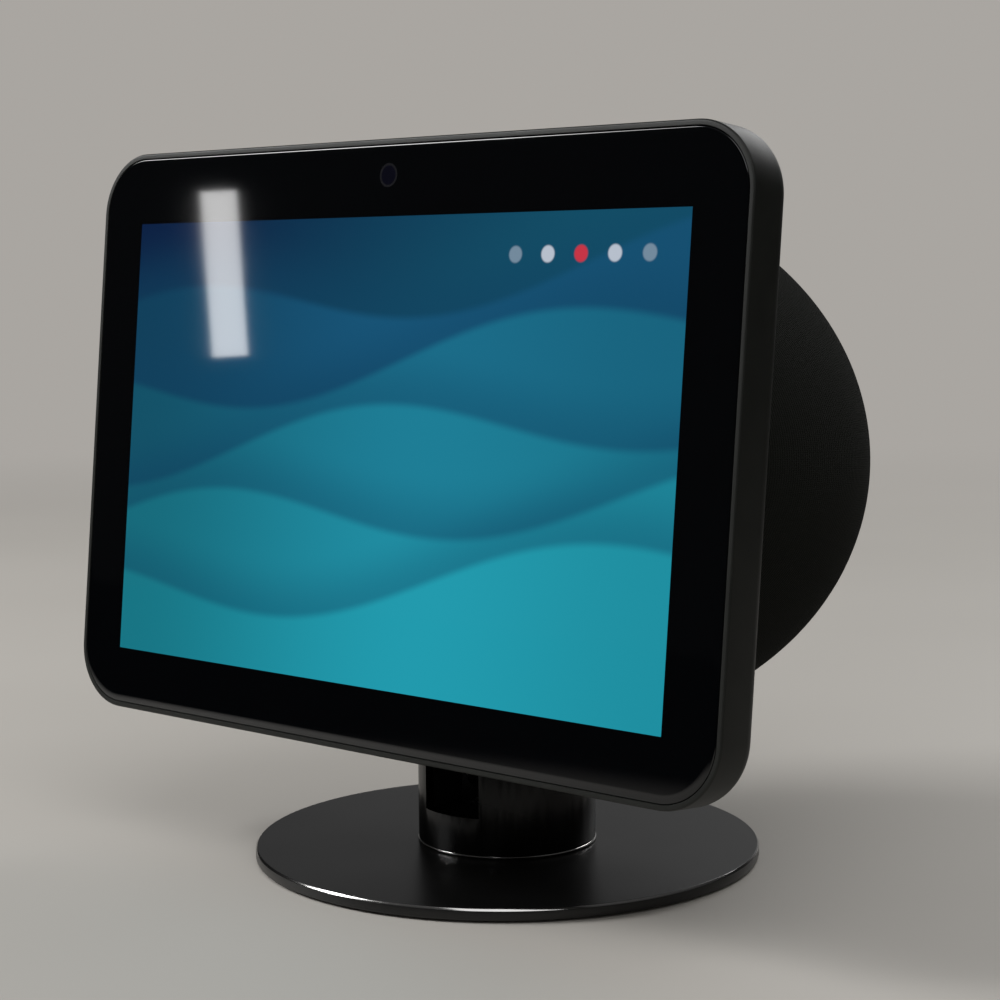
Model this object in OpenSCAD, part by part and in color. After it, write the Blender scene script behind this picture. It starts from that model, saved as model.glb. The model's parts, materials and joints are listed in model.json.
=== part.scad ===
// Smart display: a tilting, swivelling screen with a deep fabric-covered speaker body on a disc stand.
// Millimetres. The origin is the middle of the stand's underside, +Z is up and the screen faces -Y.

/* [Stand] */
// Radius of the steel base disc
base_r = 61.5; // [58:0.5:66]
// Height of the base disc's top face above the table
base_top = 3.3; // [3.2:0.1:3.6]
// Radius of the post
post_r = 21.7; // [21.2:0.1:23]
// Height of the post's top above the table
post_top = 26; // [25.5:0.5:26.5]
// Width of the slot that the tilt arm swings in
slot_w = 17; // [16:0.5:18]
// Height of the slot's floor above the table
slot_floor = 13; // [12.8:0.1:13.2]

/* [Hinge] */
// Height of the tilt axis above the table
pivot_z = 20; // [20:0.5:20.5]
// Radius of the hinge pin
pin_r = 2.5; // [2:0.1:3]
// Backward lean of the screen at rest, degrees
lean = 5.7; // [4:0.1:8]

/* [Screen] */
// Width of the slab that holds the screen
slab_w = 200; // [196:1:210]
// Height of the slab
slab_h = 139; // [136:1:144]
// Thickness of the slab
slab_t = 13; // [12.5:0.5:14]
// Corner radius of the slab, seen from the front
slab_corner = 15; // [13:1:18]
// Rounding of the slab's rear edge
slab_edge = 4.3; // [3:0.1:4.6]
// Distance of the glass from the stand's axis, at the screen's middle
face_out = 45; // [43:1:47]
// Height of the screen's middle above the table
face_z = 102.5; // [102:0.5:106]
// Width of the lit part of the panel
active_w = 170.3; // [165:0.1:172]
// How far the lit part's middle sits below the slab's middle
active_drop = 1.3; // [0:0.1:2]

/* [Rear body] */
// Half the width of the rear body
body_a = 87.1; // [84:0.1:90]
// Half the height of the rear body
body_b = 68.4; // [67:0.1:68.6]
// Depth of the rear body behind its rim
body_depth = 92.8; // [88:0.1:94]
// Squareness of the rear body's side profile: 2 is an ellipse, more is boxier
body_power = 4.35; // [3.5:0.05:5]
// Depth of the rear body's rim behind the glass
rim_depth = 10.5; // [10:0.1:11]

/* [Buttons] */
// Length of a button cap
button_l = 12; // [10:0.5:14]
// How far a button cap stands out of the top edge
button_proud = 0.6; // [0.5:0.1:0.8]

/* [Hidden] */

$fn = 64;
cut = 0.1;          // overshoot of a cutting solid past the face that it cuts
gap = 0.05;         // running gap between parts that turn on each other

// Stand
pad_r = base_r - 4.5;
pad_t = 1;
disc_bottom = 0.6;
disc_edge = base_top - 0.5;     // top of the disc's upright edge, below its chamfer
chamfer_w = 0.4;
base_screw_ring = 11;
base_screw_r = 1.2;
base_screw_head = 2.1;
base_screw_sink = 0.9;
flange_r = 16;
flange_top = 2.2;
spindle_r = 6;
slip_top = base_top + 0.3;
ring_top = slip_top + 0.5;
sleeve_t = 2.5;
core_r = post_r - sleeve_t;
bush_r = 8;
bush_top = 9;
nut_pocket_r = 11;
washer_top = bush_top + 0.85;
nut_top = washer_top + 2.7;
post_slope = 22;    // slope of the post's cut-back rear top, degrees

// Hinge
arm_w = slot_w - 1.4;
barrel_r = 6;

// Slab, front to back
rim_w = 1.3;
glass_t = 1.1;
gasket_t = 0.4;
wall = 2;
ledge_w = 3;
ledge_back = 2.7;
panel_w = active_w + 5.7;
panel_h = active_w / 1.6 + 5.6;
panel_t = 1.6;
panel_front = glass_t + gasket_t;
guide_t = 1.4;
tray_floor = panel_front + panel_t + guide_t;
tray_t = 0.6;
frame_front = tray_floor + tray_t + 0.3;
frame_t = 1.5;
frame_back = frame_front + frame_t;
frame_top = 57.2;
frame_bottom = -65.5;

// Rear body
fabric_t = 0.9;
shell_t = 2.4;
rim_flange = 5;
rim_flange_t = 2;
around = 48;        // facets round the rear body
rings = 9;          // facets from its rim to its back

// Inside the rear body
board_front = 12;
board_t = 1.6;
box_front = 26;
box_back = 76;
box_x = 50;
box_low = -8;
box_high = 38;
box_mid_d = (box_front + box_back) / 2;
box_mid_z = (box_low + box_high) / 2;
driver_r = 21;
plate_low = -57.5;
plate_t = 3;
inlet_z = -38;
flex_x = [22, 36];
flex_z = -panel_h / 2 - active_drop + 5.2;

// Top edge
key_d = 6.6;        // depth of the keys behind the glass
key_w = 4.4;
key_gap = 0.3;
camera_z = 61.2;
camera_half = 3.6;  // half the camera module's width
shutter_x = 12;     // middle of the open camera cover
shutter_travel = 12;
shutter_half = 4;

// Where the tilt axis lies in the screen's own axes
pivot_depth = face_out * cos(lean) + (face_z - pivot_z) * sin(lean);
pivot_drop = (face_z - pivot_z) * cos(lean) - face_out * sin(lean);

// ---- shared shapes ----

// Places children drawn in the screen's axes: x right, y depth behind the glass, z up from its middle.
module on_screen() {
    translate([0, -face_out, face_z]) rotate([-lean, 0, 0]) children();
}

// A rectangle with round corners.
module rounded_rect(w, h, r) {
    square([w, h - 2 * r], center = true);
    square([w - 2 * r, h], center = true);
    for (x = [-1, 1], y = [-1, 1])
        translate([x * (w / 2 - r), y * (h / 2 - r)]) circle(r);
}

// An upright plate parallel to the glass, from depth d0 to depth d1.
module plate(d0, d1) {
    translate([0, d1, 0]) rotate([90, 0, 0]) linear_extrude(d1 - d0) children();
}

// A round bar along the depth, at (x, z) on the screen.
module peg(x, z, d0, d1, r) {
    translate([x, d0, z]) rotate([-90, 0, 0]) cylinder(r = r, h = d1 - d0);
}

// A box given by its low and high corners.
module block(low, high) {
    translate(low) cube(high - low);
}

// A bar with round ends along x, lying flat, its middle at the origin.
module lozenge(l, w, h) {
    linear_extrude(h) {
        square([l - w, w], center = true);
        for (x = [-1, 1]) translate([x * (l - w) / 2, 0]) circle(w / 2);
    }
}

// The rear body's outline, inset by o from the outside, at a fraction s of its full size.
function oval(o, s) = [for (k = [0 : around - 1]) let (a = 360 * k / around)
    [(body_a - o) * s * cos(a), (body_b - o) * s * sin(a)]];

// One ring of points of the rear body: its outline shrinks towards the back as a superellipse.
function ring(o, t) = let (s = pow(1 - pow(sin(t), body_power), 1 / body_power),
    d = rim_depth + (body_depth - o) * sin(t))
    [for (p = oval(o, s)) [p[0], d, p[1]]];

// Steps from the rim towards the back, in degrees, closer together where the profile turns.
function steps() = [for (k = [0 : rings - 1]) 88 * (1 - pow(1 - k / (rings - 1), 1.6))];

// A cup between two insets of the rear body, open at the rim, with an inward flange f wide if f > 0.
module cup(o_out, o_in, f) {
    n = around;
    t = steps();
    m = len(t);
    flange = f > 0 ? [
        [for (p = oval(o_in + f, 1)) [p[0], rim_depth, p[1]]],
        [for (p = oval(o_in + f, 1)) [p[0], rim_depth + rim_flange_t, p[1]]],
        [for (p = oval(o_in, 1)) [p[0], rim_depth + rim_flange_t, p[1]]]
    ] : [ring(o_in, 0)];
    outer = [for (k = [m - 1 : -1 : 0]) ring(o_out, t[k])];
    inner = [for (k = [1 : m - 1]) ring(o_in, t[k])];
    all = concat(outer, flange, inner);
    last = len(all) - 1;
    points = concat([for (r = all, p = r) p],
        [[0, rim_depth + body_depth - o_out, 0], [0, rim_depth + body_depth - o_in, 0]]);
    tip = len(points) - 2;
    faces = concat(
        [for (k = [0 : n - 1]) [tip, k, (k + 1) % n]],
        [for (j = [0 : last - 1], k = [0 : n - 1], h = [0, 1]) let (a = j * n + k, b = j * n + (k + 1) % n)
            h == 0 ? [a, a + n, b] : [b, a + n, b + n]],
        [for (k = [0 : n - 1]) [tip + 1, last * n + (k + 1) % n, last * n + k]]
    );
    polyhedron(points, faces);
}

// A ring of one inset of the rear body, from depth d0 to depth d1, grown outwards by extra.
module rim_prism(extra, d0, d1) {
    plate(d0, d1) polygon([for (p = oval(-extra, 1)) [p[0], p[1]]]);
}

// The slab's outer shape: straight sides and a rounded rear edge.
module slab_solid() {
    e = slab_edge;
    c = slab_corner;
    back = slab_t - e;
    plate(0, back) rounded_rect(slab_w, slab_h, c);
    plate(back, slab_t) rounded_rect(slab_w - 2 * e, slab_h - 2 * e, c - e);
    for (s = [-1, 1]) {
        translate([s * (slab_w / 2 - e), back, c - slab_h / 2]) cylinder(r = e, h = slab_h - 2 * c);
        translate([c - slab_w / 2, back, s * (slab_h / 2 - e)]) rotate([0, 90, 0])
            cylinder(r = e, h = slab_w - 2 * c);
    }
    for (x = [-1, 1], z = [-1, 1])
        translate([x * (slab_w / 2 - c), back, z * (slab_h / 2 - c)]) rotate([90, 0, 0])
            rotate_extrude() translate([c - e, 0]) circle(e);
}

// A countersunk or a pan head screw along the depth: head at d0, point at d1.
module csk_screw(x, z, d0, d1, r, head) {
    peg(x, z, d0, d1, r);
    translate([x, d0, z]) rotate([-90, 0, 0]) cylinder(r1 = head, r2 = r, h = head - r);
}
module pan_screw(x, z, d0, d1, r, head) {
    peg(x, z, d0 + 1.2, d1, r);
    difference() {
        peg(x, z, d0, d0 + 1.2, head);
        peg(x, z, d0 - cut, d0 + 0.6, head * 0.45);
    }
}

// ---- stand ----

module base_disc() {
    color("#1b1b1c") difference() {
        rotate_extrude($fn = 160) polygon([
            [0, disc_bottom], [base_r, disc_bottom], [base_r, disc_edge],
            [base_r - chamfer_w, base_top], [0, base_top]
        ]);
        translate([0, 0, disc_bottom - cut]) cylinder(r = pad_r + 0.1, h = pad_t - disc_bottom + cut);
        translate([0, 0, disc_bottom]) cylinder(r = flange_r, h = flange_top - disc_bottom);
        cylinder(r = spindle_r, h = base_top + 1);
        for (a = [45 : 90 : 315]) rotate(a) translate([base_screw_ring, 0, pad_t])
            cylinder(r = base_screw_r, h = 1.9);
    }
}

module foot_pad() {
    color("#202020") difference() {
        cylinder(r = pad_r, h = pad_t);
        for (r = [20 : 12 : 44]) translate([0, 0, -cut]) difference() {
            cylinder(r = r + 1.5, h = 0.3 + cut);
            translate([0, 0, -cut]) cylinder(r = r, h = 1);
        }
    }
}

module spindle() {
    color("silver") difference() {
        union() {
            translate([0, 0, pad_t]) cylinder(r = flange_r, h = flange_top - pad_t);
            translate([0, 0, pad_t]) cylinder(r = spindle_r, h = nut_top + 0.3 - pad_t);
        }
        translate([0, 0, nut_top - 6]) cylinder(r = 2.6, h = 7);
        for (a = [45 : 90 : 315]) rotate(a) translate([base_screw_ring, 0, 0]) {
            cylinder(r = base_screw_r, h = 4);
            translate([0, 0, pad_t]) cylinder(r1 = base_screw_head, r2 = base_screw_r, h = base_screw_sink);
        }
    }
}

module spindle_screws() {
    color("dimgray") for (a = [45 : 90 : 315]) rotate(a) translate([base_screw_ring, 0, pad_t]) {
        cylinder(r = base_screw_r, h = 1.8);
        cylinder(r1 = base_screw_head, r2 = base_screw_r, h = base_screw_sink);
    }
}

module slip_washer() {
    color("#303030") translate([0, 0, base_top]) difference() {
        cylinder(r = post_r - 2, h = slip_top - base_top);
        translate([0, 0, -cut]) cylinder(r = 9, h = 2);
    }
}

module thrust_washer() {
    color("silver") translate([0, 0, bush_top + gap]) difference() {
        cylinder(r = 10.5, h = washer_top - bush_top - gap);
        translate([0, 0, -cut]) cylinder(r = spindle_r, h = 3);
    }
}

module spindle_nut() {
    color("silver") translate([0, 0, washer_top]) difference() {
        cylinder(r = 9.2, h = nut_top - washer_top, $fn = 6);
        translate([0, 0, -cut]) cylinder(r = spindle_r, h = 4);
    }
}

// ---- post, which swivels ----

// The arm's slot and the cut-back rear top, shared by the sleeve and the core.
module post_cuts() {
    translate([-slot_w / 2, -post_r - 1, slot_floor]) cube([slot_w, 2 * post_r + 2, post_top]);
    translate([-post_r - 1, 3, post_top]) rotate([-post_slope, 0, 0]) cube([2 * post_r + 2, 40, 30]);
}

module foot_ring() {
    color("#d9d9d9") translate([0, 0, slip_top + gap]) difference() {
        cylinder(r = post_r + 0.15, h = ring_top - slip_top - gap, $fn = 120);
        translate([0, 0, -cut]) cylinder(r = core_r, h = 2);
    }
}

module post_sleeve() {
    color("#222223") difference() {
        translate([0, 0, ring_top]) cylinder(r = post_r, h = post_top - ring_top, $fn = 120);
        cylinder(r = core_r, h = post_top + 1);
        post_cuts();
    }
}

module post_core() {
    color("#3a3a3c") difference() {
        translate([0, 0, slip_top + gap]) cylinder(r = core_r, h = post_top - slip_top - gap);
        translate([0, 0, slip_top - cut]) cylinder(r = bush_r, h = bush_top);
        translate([0, 0, bush_top]) cylinder(r = nut_pocket_r, h = slot_floor);
        post_cuts();
        translate([-core_r + 1.5, 0, pivot_z]) rotate([0, 90, 0]) cylinder(r = pin_r, h = 2 * core_r - 3);
    }
}

module swivel_bush() {
    color("ivory") translate([0, 0, slip_top + gap]) difference() {
        cylinder(r = bush_r, h = bush_top - slip_top - gap);
        translate([0, 0, -cut]) cylinder(r = spindle_r + gap, h = bush_top);
    }
}

module hinge_pin() {
    color("lightgray") translate([-core_r + 1.5, 0, pivot_z]) rotate([0, 90, 0])
        cylinder(r = pin_r, h = 2 * core_r - 3);
}

module friction_washers() {
    t = (slot_w - arm_w) / 2 - 2 * gap;
    color("silver") for (s = [-1, 1])
        translate([s * (slot_w / 2 - gap - t / 2), 0, pivot_z]) rotate([0, 90, 0]) difference() {
            cylinder(r = barrel_r - 0.4, h = t, center = true);
            cylinder(r = pin_r, h = t + 1, center = true);
        }
}

// ---- tilt arm ----

module tilt_bracket() {
    color("#4a4a4c") on_screen() difference() {
        union() {
            translate([-arm_w / 2, pivot_depth, -pivot_drop]) rotate([0, 90, 0])
                cylinder(r = barrel_r, h = arm_w);
            block([-arm_w / 2, pivot_depth - 5, -pivot_drop], [arm_w / 2, pivot_depth + 5, plate_low + 1]);
            block([-20, frame_back, plate_low], [20, pivot_depth + 16, plate_low + plate_t]);
            block([-20, frame_back, plate_low], [20, frame_back + 2.4, plate_low + 14]);
            for (x = [-18, 15]) translate([x, frame_back, plate_low + 1]) rotate([90, 0, 90])
                linear_extrude(3) polygon([[0, 0], [30, 0], [30, 2], [2.4, 12], [0, 12]]);
        }
        translate([-20, pivot_depth, -pivot_drop]) rotate([0, 90, 0]) cylinder(r = pin_r + gap, h = 40);
        for (x = [-10, 10]) peg(x, plate_low + 9, 0, 30, 1.4);
    }
}

module bracket_screws() {
    color("silver") on_screen() for (x = [-10, 10])
        translate([0, 2 * (frame_back + 2.4), 0]) mirror([0, 1, 0])
        pan_screw(x, plate_low + 9, frame_back + 1.2, frame_back + 2.4 + 3.6, 1.4, 2.6);
}

// ---- slab ----

module front_housing() {
    color("#2b2b2c") on_screen() difference() {
        union() {
            difference() {
                slab_solid();
                plate(ledge_back, slab_t - wall)
                    rounded_rect(slab_w - 2 * wall, slab_h - 2 * wall, slab_corner - wall);
                plate(-cut, ledge_back + cut) rounded_rect(slab_w - 2 * wall - 2 * ledge_w,
                    slab_h - 2 * wall - 2 * ledge_w, slab_corner - wall - ledge_w);
                plate(-cut, glass_t)
                    rounded_rect(slab_w - 2 * rim_w, slab_h - 2 * rim_w, slab_corner - rim_w);
                plate(glass_t - cut, panel_front) rounded_rect(slab_w - 2 * wall, slab_h - 2 * wall,
                    slab_corner - wall);
                rim_prism(0.1, rim_depth, slab_t + 2);
            }
            intersection() {
                for (p = frame_fixings()) peg(p[0], p[1], ledge_back - 0.5, frame_front, 2.6);
                slab_solid();
            }
        }
        for (p = frame_fixings()) peg(p[0], p[1], ledge_back, frame_front + 1, 0.9);
        for (x = key_places()) key_hole(x);
        shutter_space(key_d - 1.3, key_d + 1.3, slab_h / 2 - 4, slab_h / 2 + 1);
        shutter_space(panel_front, ledge_back + cut, camera_z, camera_z + 5.1);
    }
}

// The space that the camera cover sweeps, between two depths and two heights.
module shutter_space(d0, d1, z0, z1) {
    block([shutter_x - shutter_travel - shutter_half - key_gap, d0, z0],
        [shutter_x + shutter_half + key_gap, d1, z1]);
}

function frame_fixings() = concat(
    [for (x = [-1, 1], z = [-45, 0, 45]) [x * (slab_w / 2 - 6.5), z]],
    [for (x = [-60, 60]) [x, frame_bottom + 3.3]]
);

function shell_fixings() = [for (a = [0 : 60 : 300])
    let (inset = fabric_t + shell_t + rim_flange / 2)
    [(body_a - inset) * cos(a), (body_b - inset) * sin(a)]];

module cover_glass() {
    color("#0a0a0c") on_screen() plate(0, glass_t)
        rounded_rect(slab_w - 2 * rim_w - 0.2, slab_h - 2 * rim_w - 0.2, slab_corner - rim_w - 0.1);
}

module glass_gasket() {
    color("#1a1a1a") on_screen() difference() {
        plate(glass_t, panel_front)
            rounded_rect(slab_w - 2 * wall - 0.4, slab_h - 2 * wall - 0.4, slab_corner - wall - 0.2);
        block([-active_w / 2 - 1, 0, -active_w / 3.2 - active_drop - 1],
            [active_w / 2 + 1, 3, active_w / 3.2 - active_drop + 1]);
        block([-9, 0, camera_z - 4.8], [22, 3, camera_z + 4.2]);
    }
}

module lcd_panel() {
    color("#28505f") on_screen() translate([0, 0, -active_drop])
        plate(panel_front, panel_front + panel_t) square([panel_w, panel_h], center = true);
}

module light_guide() {
    color("#e8eef2") on_screen() translate([0, 0, -active_drop])
        plate(panel_front + panel_t, tray_floor) square([panel_w - 1, panel_h - 1], center = true);
}

module backlight_tray() {
    color("#9a9da0") on_screen() translate([0, 0, -active_drop]) difference() {
        plate(panel_front + 0.2, tray_floor + tray_t) square([panel_w + 2, panel_h + 2], center = true);
        plate(0, tray_floor) square([panel_w + 0.2, panel_h + 0.2], center = true);
        block([flex_x[0] - 1, tray_floor - 1, -panel_h / 2 + 4],
            [flex_x[1] + 1, tray_floor + 2, -panel_h / 2 + 9]);
    }
}

module mid_frame() {
    mid = (frame_top + frame_bottom) / 2;
    color("#6d7073") on_screen() difference() {
        union() {
            translate([0, 0, mid]) plate(frame_front, frame_back)
                rounded_rect(slab_w - 8, frame_top - frame_bottom, 11);
            for (p = shell_fixings()) peg(p[0], p[1], frame_back - 0.1, rim_depth, 3);
            for (p = board_fixings()) peg(p[0], p[1], frame_back - 0.1, board_front, 2.6);
            for (p = speaker_fixings()) peg(p[0], p[1], frame_back - 0.1, box_front, 3.4);
        }
        for (p = frame_fixings()) peg(p[0], p[1], 0, 20, 1);
        for (p = shell_fixings()) csk_screw(p[0], p[1], frame_front, 20, 1.1, 2);
        for (p = board_fixings()) peg(p[0], p[1], board_front - 4, 20, 0.9);
        for (p = speaker_fixings()) peg(p[0], p[1], box_front - 8, 40, 1.1);
        for (x = [-10, 10]) peg(x, plate_low + 9, 0, 20, 1.4);
        block([flex_x[0] - 1, 0, flex_z - 2.2], [flex_x[1] + 1, frame_back + 1, flex_z + 2.3]);
        for (x = [-66, 26]) block([x, 0, 38], [x + 40, frame_back + 1, 50]);
        for (x = [-88, 64]) block([x, 0, -38], [x + 24, frame_back + 1, -8]);
    }
}

module frame_screws() {
    color("silver") on_screen() for (p = frame_fixings())
        translate([0, 2 * frame_back, 0]) mirror([0, 1, 0])
            pan_screw(p[0], p[1], frame_back - 1.2, frame_back + frame_t + 2.4, 0.9, 1.9);
}

module shell_screws() {
    color("silver") on_screen() for (p = shell_fixings())
        csk_screw(p[0], p[1], frame_front, rim_depth + rim_flange_t, 1.1, 2);
}

// ---- rear body ----

module neck_hole() {
    block([-arm_w / 2 - 1, pivot_depth - 7, -body_b - 2], [arm_w / 2 + 1, pivot_depth + 7, plate_low - 1]);
}

module port_hole() {
    translate([0, rim_depth + body_depth / 2, inlet_z]) rotate([-90, 0, 0])
        lozenge(10, 4.2, body_depth);
}

module rear_shell() {
    color("#252524") on_screen() difference() {
        cup(fabric_t, fabric_t + shell_t, rim_flange);
        neck_hole();
        port_hole();
        for (p = shell_fixings()) peg(p[0], p[1], rim_depth - 1, rim_depth + rim_flange_t + 1, 1.1);
        translate([-body_a, box_mid_d, box_mid_z]) rotate([0, 90, 0]) cylinder(r = 17, h = 2 * body_a);
    }
}

module fabric_cover() {
    color("#1e1e1c") on_screen() difference() {
        cup(0, fabric_t, 0);
        neck_hole();
        port_hole();
    }
}

// ---- electronics ----

function board_fixings() = [for (x = [-48, 48], z = [-38, 12]) [x, z]];

module main_board() {
    color("#1d5a3a") on_screen() difference() {
        union() {
            block([-52, board_front, -42], [52, board_front + board_t, 16]);
            for (x = [-30, 8, 30])
                block([x, board_front + board_t, -41], [x + 9, board_front + board_t + 2.4, -36]);
        }
        for (p = board_fixings()) peg(p[0], p[1], 0, 20, 1);
    }
}

module board_screws() {
    color("silver") on_screen() for (p = board_fixings())
        translate([0, 2 * (board_front + board_t), 0]) mirror([0, 1, 0])
            pan_screw(p[0], p[1], board_front + board_t - 1.2, board_front + board_t + 5, 0.9, 1.8);
}

module shield_can() {
    d = board_front + board_t;
    color("#b9bcbe") on_screen() difference() {
        block([-30, d, -28], [22, d + 2.2, 10]);
        block([-29.7, d - 1, -27.7], [21.7, d + 1.9, 9.7]);
    }
}

module heat_sink() {
    d = board_front + board_t + 2.2;
    color("#8a8d90") on_screen() {
        block([-28, d, -26], [20, d + 1.6, 8]);
        for (x = [-28 : 5.8 : 19]) block([x, d + 1.6, -26], [x + 1.2, d + 7, 8]);
    }
}

module wireless_module() {
    d = board_front + board_t;
    color("#c2c4c5") on_screen() block([27, d, -24], [44, d + 1.8, -8]);
}

module antenna_boards() {
    color("#23402c") on_screen() for (s = [-1, 1]) translate([s * 20, 0, 0]) {
        block([-12, frame_back, 50], [12, frame_back + 1, 56.5]);
        block([-3, frame_back + 1, 51.5], [3, frame_back + 2.2, 54.5]);
    }
}

// The flat cable from the panel's lower edge through the mid frame to the board.
module display_flex() {
    back = board_front - 1.5;
    color("#a8722a") on_screen() {
        block([flex_x[0], tray_floor + 0.05, flex_z], [flex_x[1], back, flex_z + 0.3]);
        block([flex_x[0], back - 0.3, flex_z + 0.3], [flex_x[1], back, -37]);
        block([flex_x[0], back, -40], [flex_x[1], board_front, -37]);
    }
}

module power_inlet() {
    back = rim_depth + body_depth - 1.9;
    color("#b5b7b9") on_screen() translate([0, 0, inlet_z]) {
        difference() {
            translate([0, 88, 0]) rotate([-90, 0, 0]) lozenge(9, 3.2, back - 88);
            translate([0, 90, 0]) rotate([-90, 0, 0]) lozenge(8.3, 2.5, 20);
        }
        block([-3.3, 90, -0.35], [3.3, back - 1, 0.35]);
    }
}

module inlet_board() {
    color("#1d5a3a") on_screen() {
        block([-11, 72, inlet_z - 2.8], [11, 95, inlet_z - 1.6]);
        block([-9, 76, inlet_z - 1.6], [9, 86, inlet_z + 1.6]);
    }
}

// ---- sound ----

function speaker_fixings() = [for (x = [-1, 1]) each [[x * 40, 32], [x * 57, 0]]];

module speaker_box() {
    w = 2;
    color("#2a2a2a") on_screen() difference() {
        union() {
            block([-box_x, box_front, box_low], [box_x, box_back, box_high]);
            block([-62, box_front, -5], [62, box_front + 3, 5]);
            for (p = speaker_fixings()) peg(p[0], p[1], box_front, box_front + 3, 3.4);
        }
        difference() {
            block([-box_x + w, box_front + w, box_low + w], [box_x - w, box_back - w, box_high - w]);
            for (s = [-1, 1]) peg(s * 40, 32, box_front, box_front + 6, 4.6);
        }
        translate([-box_x - 1, box_mid_d, box_mid_z]) rotate([0, 90, 0])
            cylinder(r = driver_r - 2.5, h = 2 * box_x + 2);
        peg(0, box_mid_z, box_back - 5, box_back + 1, 17.5);
        for (p = speaker_fixings()) peg(p[0], p[1], box_front - 1, box_front + 4, 1.1);
    }
}

module speaker_screws() {
    color("silver") on_screen() for (p = speaker_fixings()) {
        if (p[1] > 10) peg(p[0], p[1], box_front - 7, box_front + 4, 1.1);
        else translate([0, 2 * (box_front + 3), 0]) mirror([0, 1, 0])
            pan_screw(p[0], p[1], box_front + 3 - 1.2, box_front + 3 + 10, 1.1, 2.2);
    }
}

// One piece of a driver, drawn about the driver's axis and placed on the left and right of the box.
module on_drivers() {
    on_screen() for (s = [0, 180])
        translate([0, box_mid_d, box_mid_z]) rotate([0, 0, s]) translate([box_x, 0, 0]) rotate([0, 90, 0])
            children();
}

module driver_frames() {
    color("#3b3b3d") on_drivers() difference() {
        union() {
            cylinder(r = driver_r, h = 2);
            translate([0, 0, -14]) cylinder(r1 = 14, r2 = driver_r - 2.6, h = 14);
        }
        translate([0, 0, -12.5]) cylinder(r1 = 12.5, r2 = driver_r - 4.2, h = 14.6);
        translate([0, 0, -15]) cylinder(r = 9, h = 4);
        translate([0, 0, 1]) cylinder(r = driver_r - 2, h = 2);
    }
}

module driver_cones() {
    color("#151515") on_drivers() rotate_extrude() polygon([
        [0, -6.2], [5, -5.2], [5.6, -6.5], [15.2, 0.3], [16.3, 1.05], [18.8, 1.05], [18.8, 1.8],
        [15.6, 1.8], [5.6, -5.6], [5, -4.4], [0, -5.4]
    ]);
}

module driver_magnets() {
    color("#a5a7a9") on_drivers() translate([0, 0, -24]) {
        cylinder(r = 13, h = 10);
        translate([0, 0, -1.5]) cylinder(r = 11, h = 1.5);
        cylinder(r = 8.6, h = 13);
    }
}

module passive_radiator() {
    color("#1b1b1b") on_screen() translate([0, box_back, box_mid_z]) rotate([-90, 0, 0]) {
        difference() {
            cylinder(r = 20.5, h = 2);
            translate([0, 0, -cut]) cylinder(r = 17, h = 3);
        }
        rotate_extrude() polygon([
            [0, 0.2], [10, 0.2], [10, 0.8], [12, 0.8], [14, 2.2],
            [17, 0.6], [17, 1.4], [14, 3], [11.5, 1.8], [0, 1.8]
        ]);
    }
}

// ---- camera, sensors and keys ----

function key_places() = [34, 50, 66];

module camera_module() {
    color("#26262a") on_screen() difference() {
        block([-camera_half, panel_front + 1.5, camera_z - camera_half],
            [camera_half, panel_front + 6.5, camera_z + camera_half]);
        peg(0, camera_z, 0, panel_front + 4.5, 2.6);
    }
}

module camera_lens() {
    color("#101828") on_screen() peg(0, camera_z, panel_front + 1.2, panel_front + 4.5, 2.6);
}

module light_sensor() {
    color("#303038") on_screen()
        block([-26, panel_front, camera_z - 1.5], [-22, panel_front + 1.2, camera_z + 1.5]);
}

module mic_board() {
    color("#1d5a3a") on_screen() for (x = [-70, -40]) {
        block([x - 7, ledge_back + 0.3, 60], [x + 7, ledge_back + 1.3, 65.5]);
        block([x - 2, ledge_back + 1.3, 61.5], [x + 2, ledge_back + 2.4, 64.5]);
    }
}

module button_board() {
    color("#1d5a3a") on_screen() block([26, 4.2, 61.9], [74, 9.4, 63]);
}

module button_switches() {
    color("#8d8f91") on_screen() for (x = key_places()) translate([x, key_d, 63]) {
        translate([-2.4, -1.8, 0]) cube([4.8, 3.6, 1.5]);
        translate([0, 0, 1.5]) cylinder(r = 0.9, h = 0.4);
    }
}

module key_hole(x) {
    translate([x, key_d, slab_h / 2 - wall - 1])
        lozenge(button_l + 2 * key_gap, key_w + 2 * key_gap, wall + 3);
}

// A key: its cap stands out of the top edge and its skirt keeps it in.
module key(x) {
    on_screen() translate([x, key_d, 0]) {
        translate([0, 0, slab_h / 2 - wall - 1]) lozenge(button_l, key_w, wall + 1 + button_proud);
        translate([0, 0, slab_h / 2 - wall - 2]) lozenge(button_l + 2.2, key_w + 1, 1.6);
    }
}

module volume_up() { color("#161616") key(key_places()[2]); }
module volume_down() { color("#161616") key(key_places()[1]); }
module mute_button() { color("#161616") key(key_places()[0]); }

// The sliding camera cover: a thumb piece on the top edge and a blade behind the glass.
module camera_shutter() {
    color("#161616") on_screen() {
        top = camera_z + camera_half + 0.3;
        translate([shutter_x, 0, 0]) {
            block([-shutter_half, key_d - 1, top], [shutter_half, key_d + 1, slab_h / 2 + button_proud]);
            block([-shutter_half - 2, key_d - 1, top],
                [shutter_half + 2, key_d + 1, slab_h / 2 - wall - key_gap]);
            block([-shutter_half, panel_front + 0.3, top], [shutter_half, key_d + 1, top + 0.8]);
            block([-shutter_half, panel_front + 0.3, camera_z - 4],
                [shutter_half, panel_front + 0.8, top + 0.8]);
        }
    }
}

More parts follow.
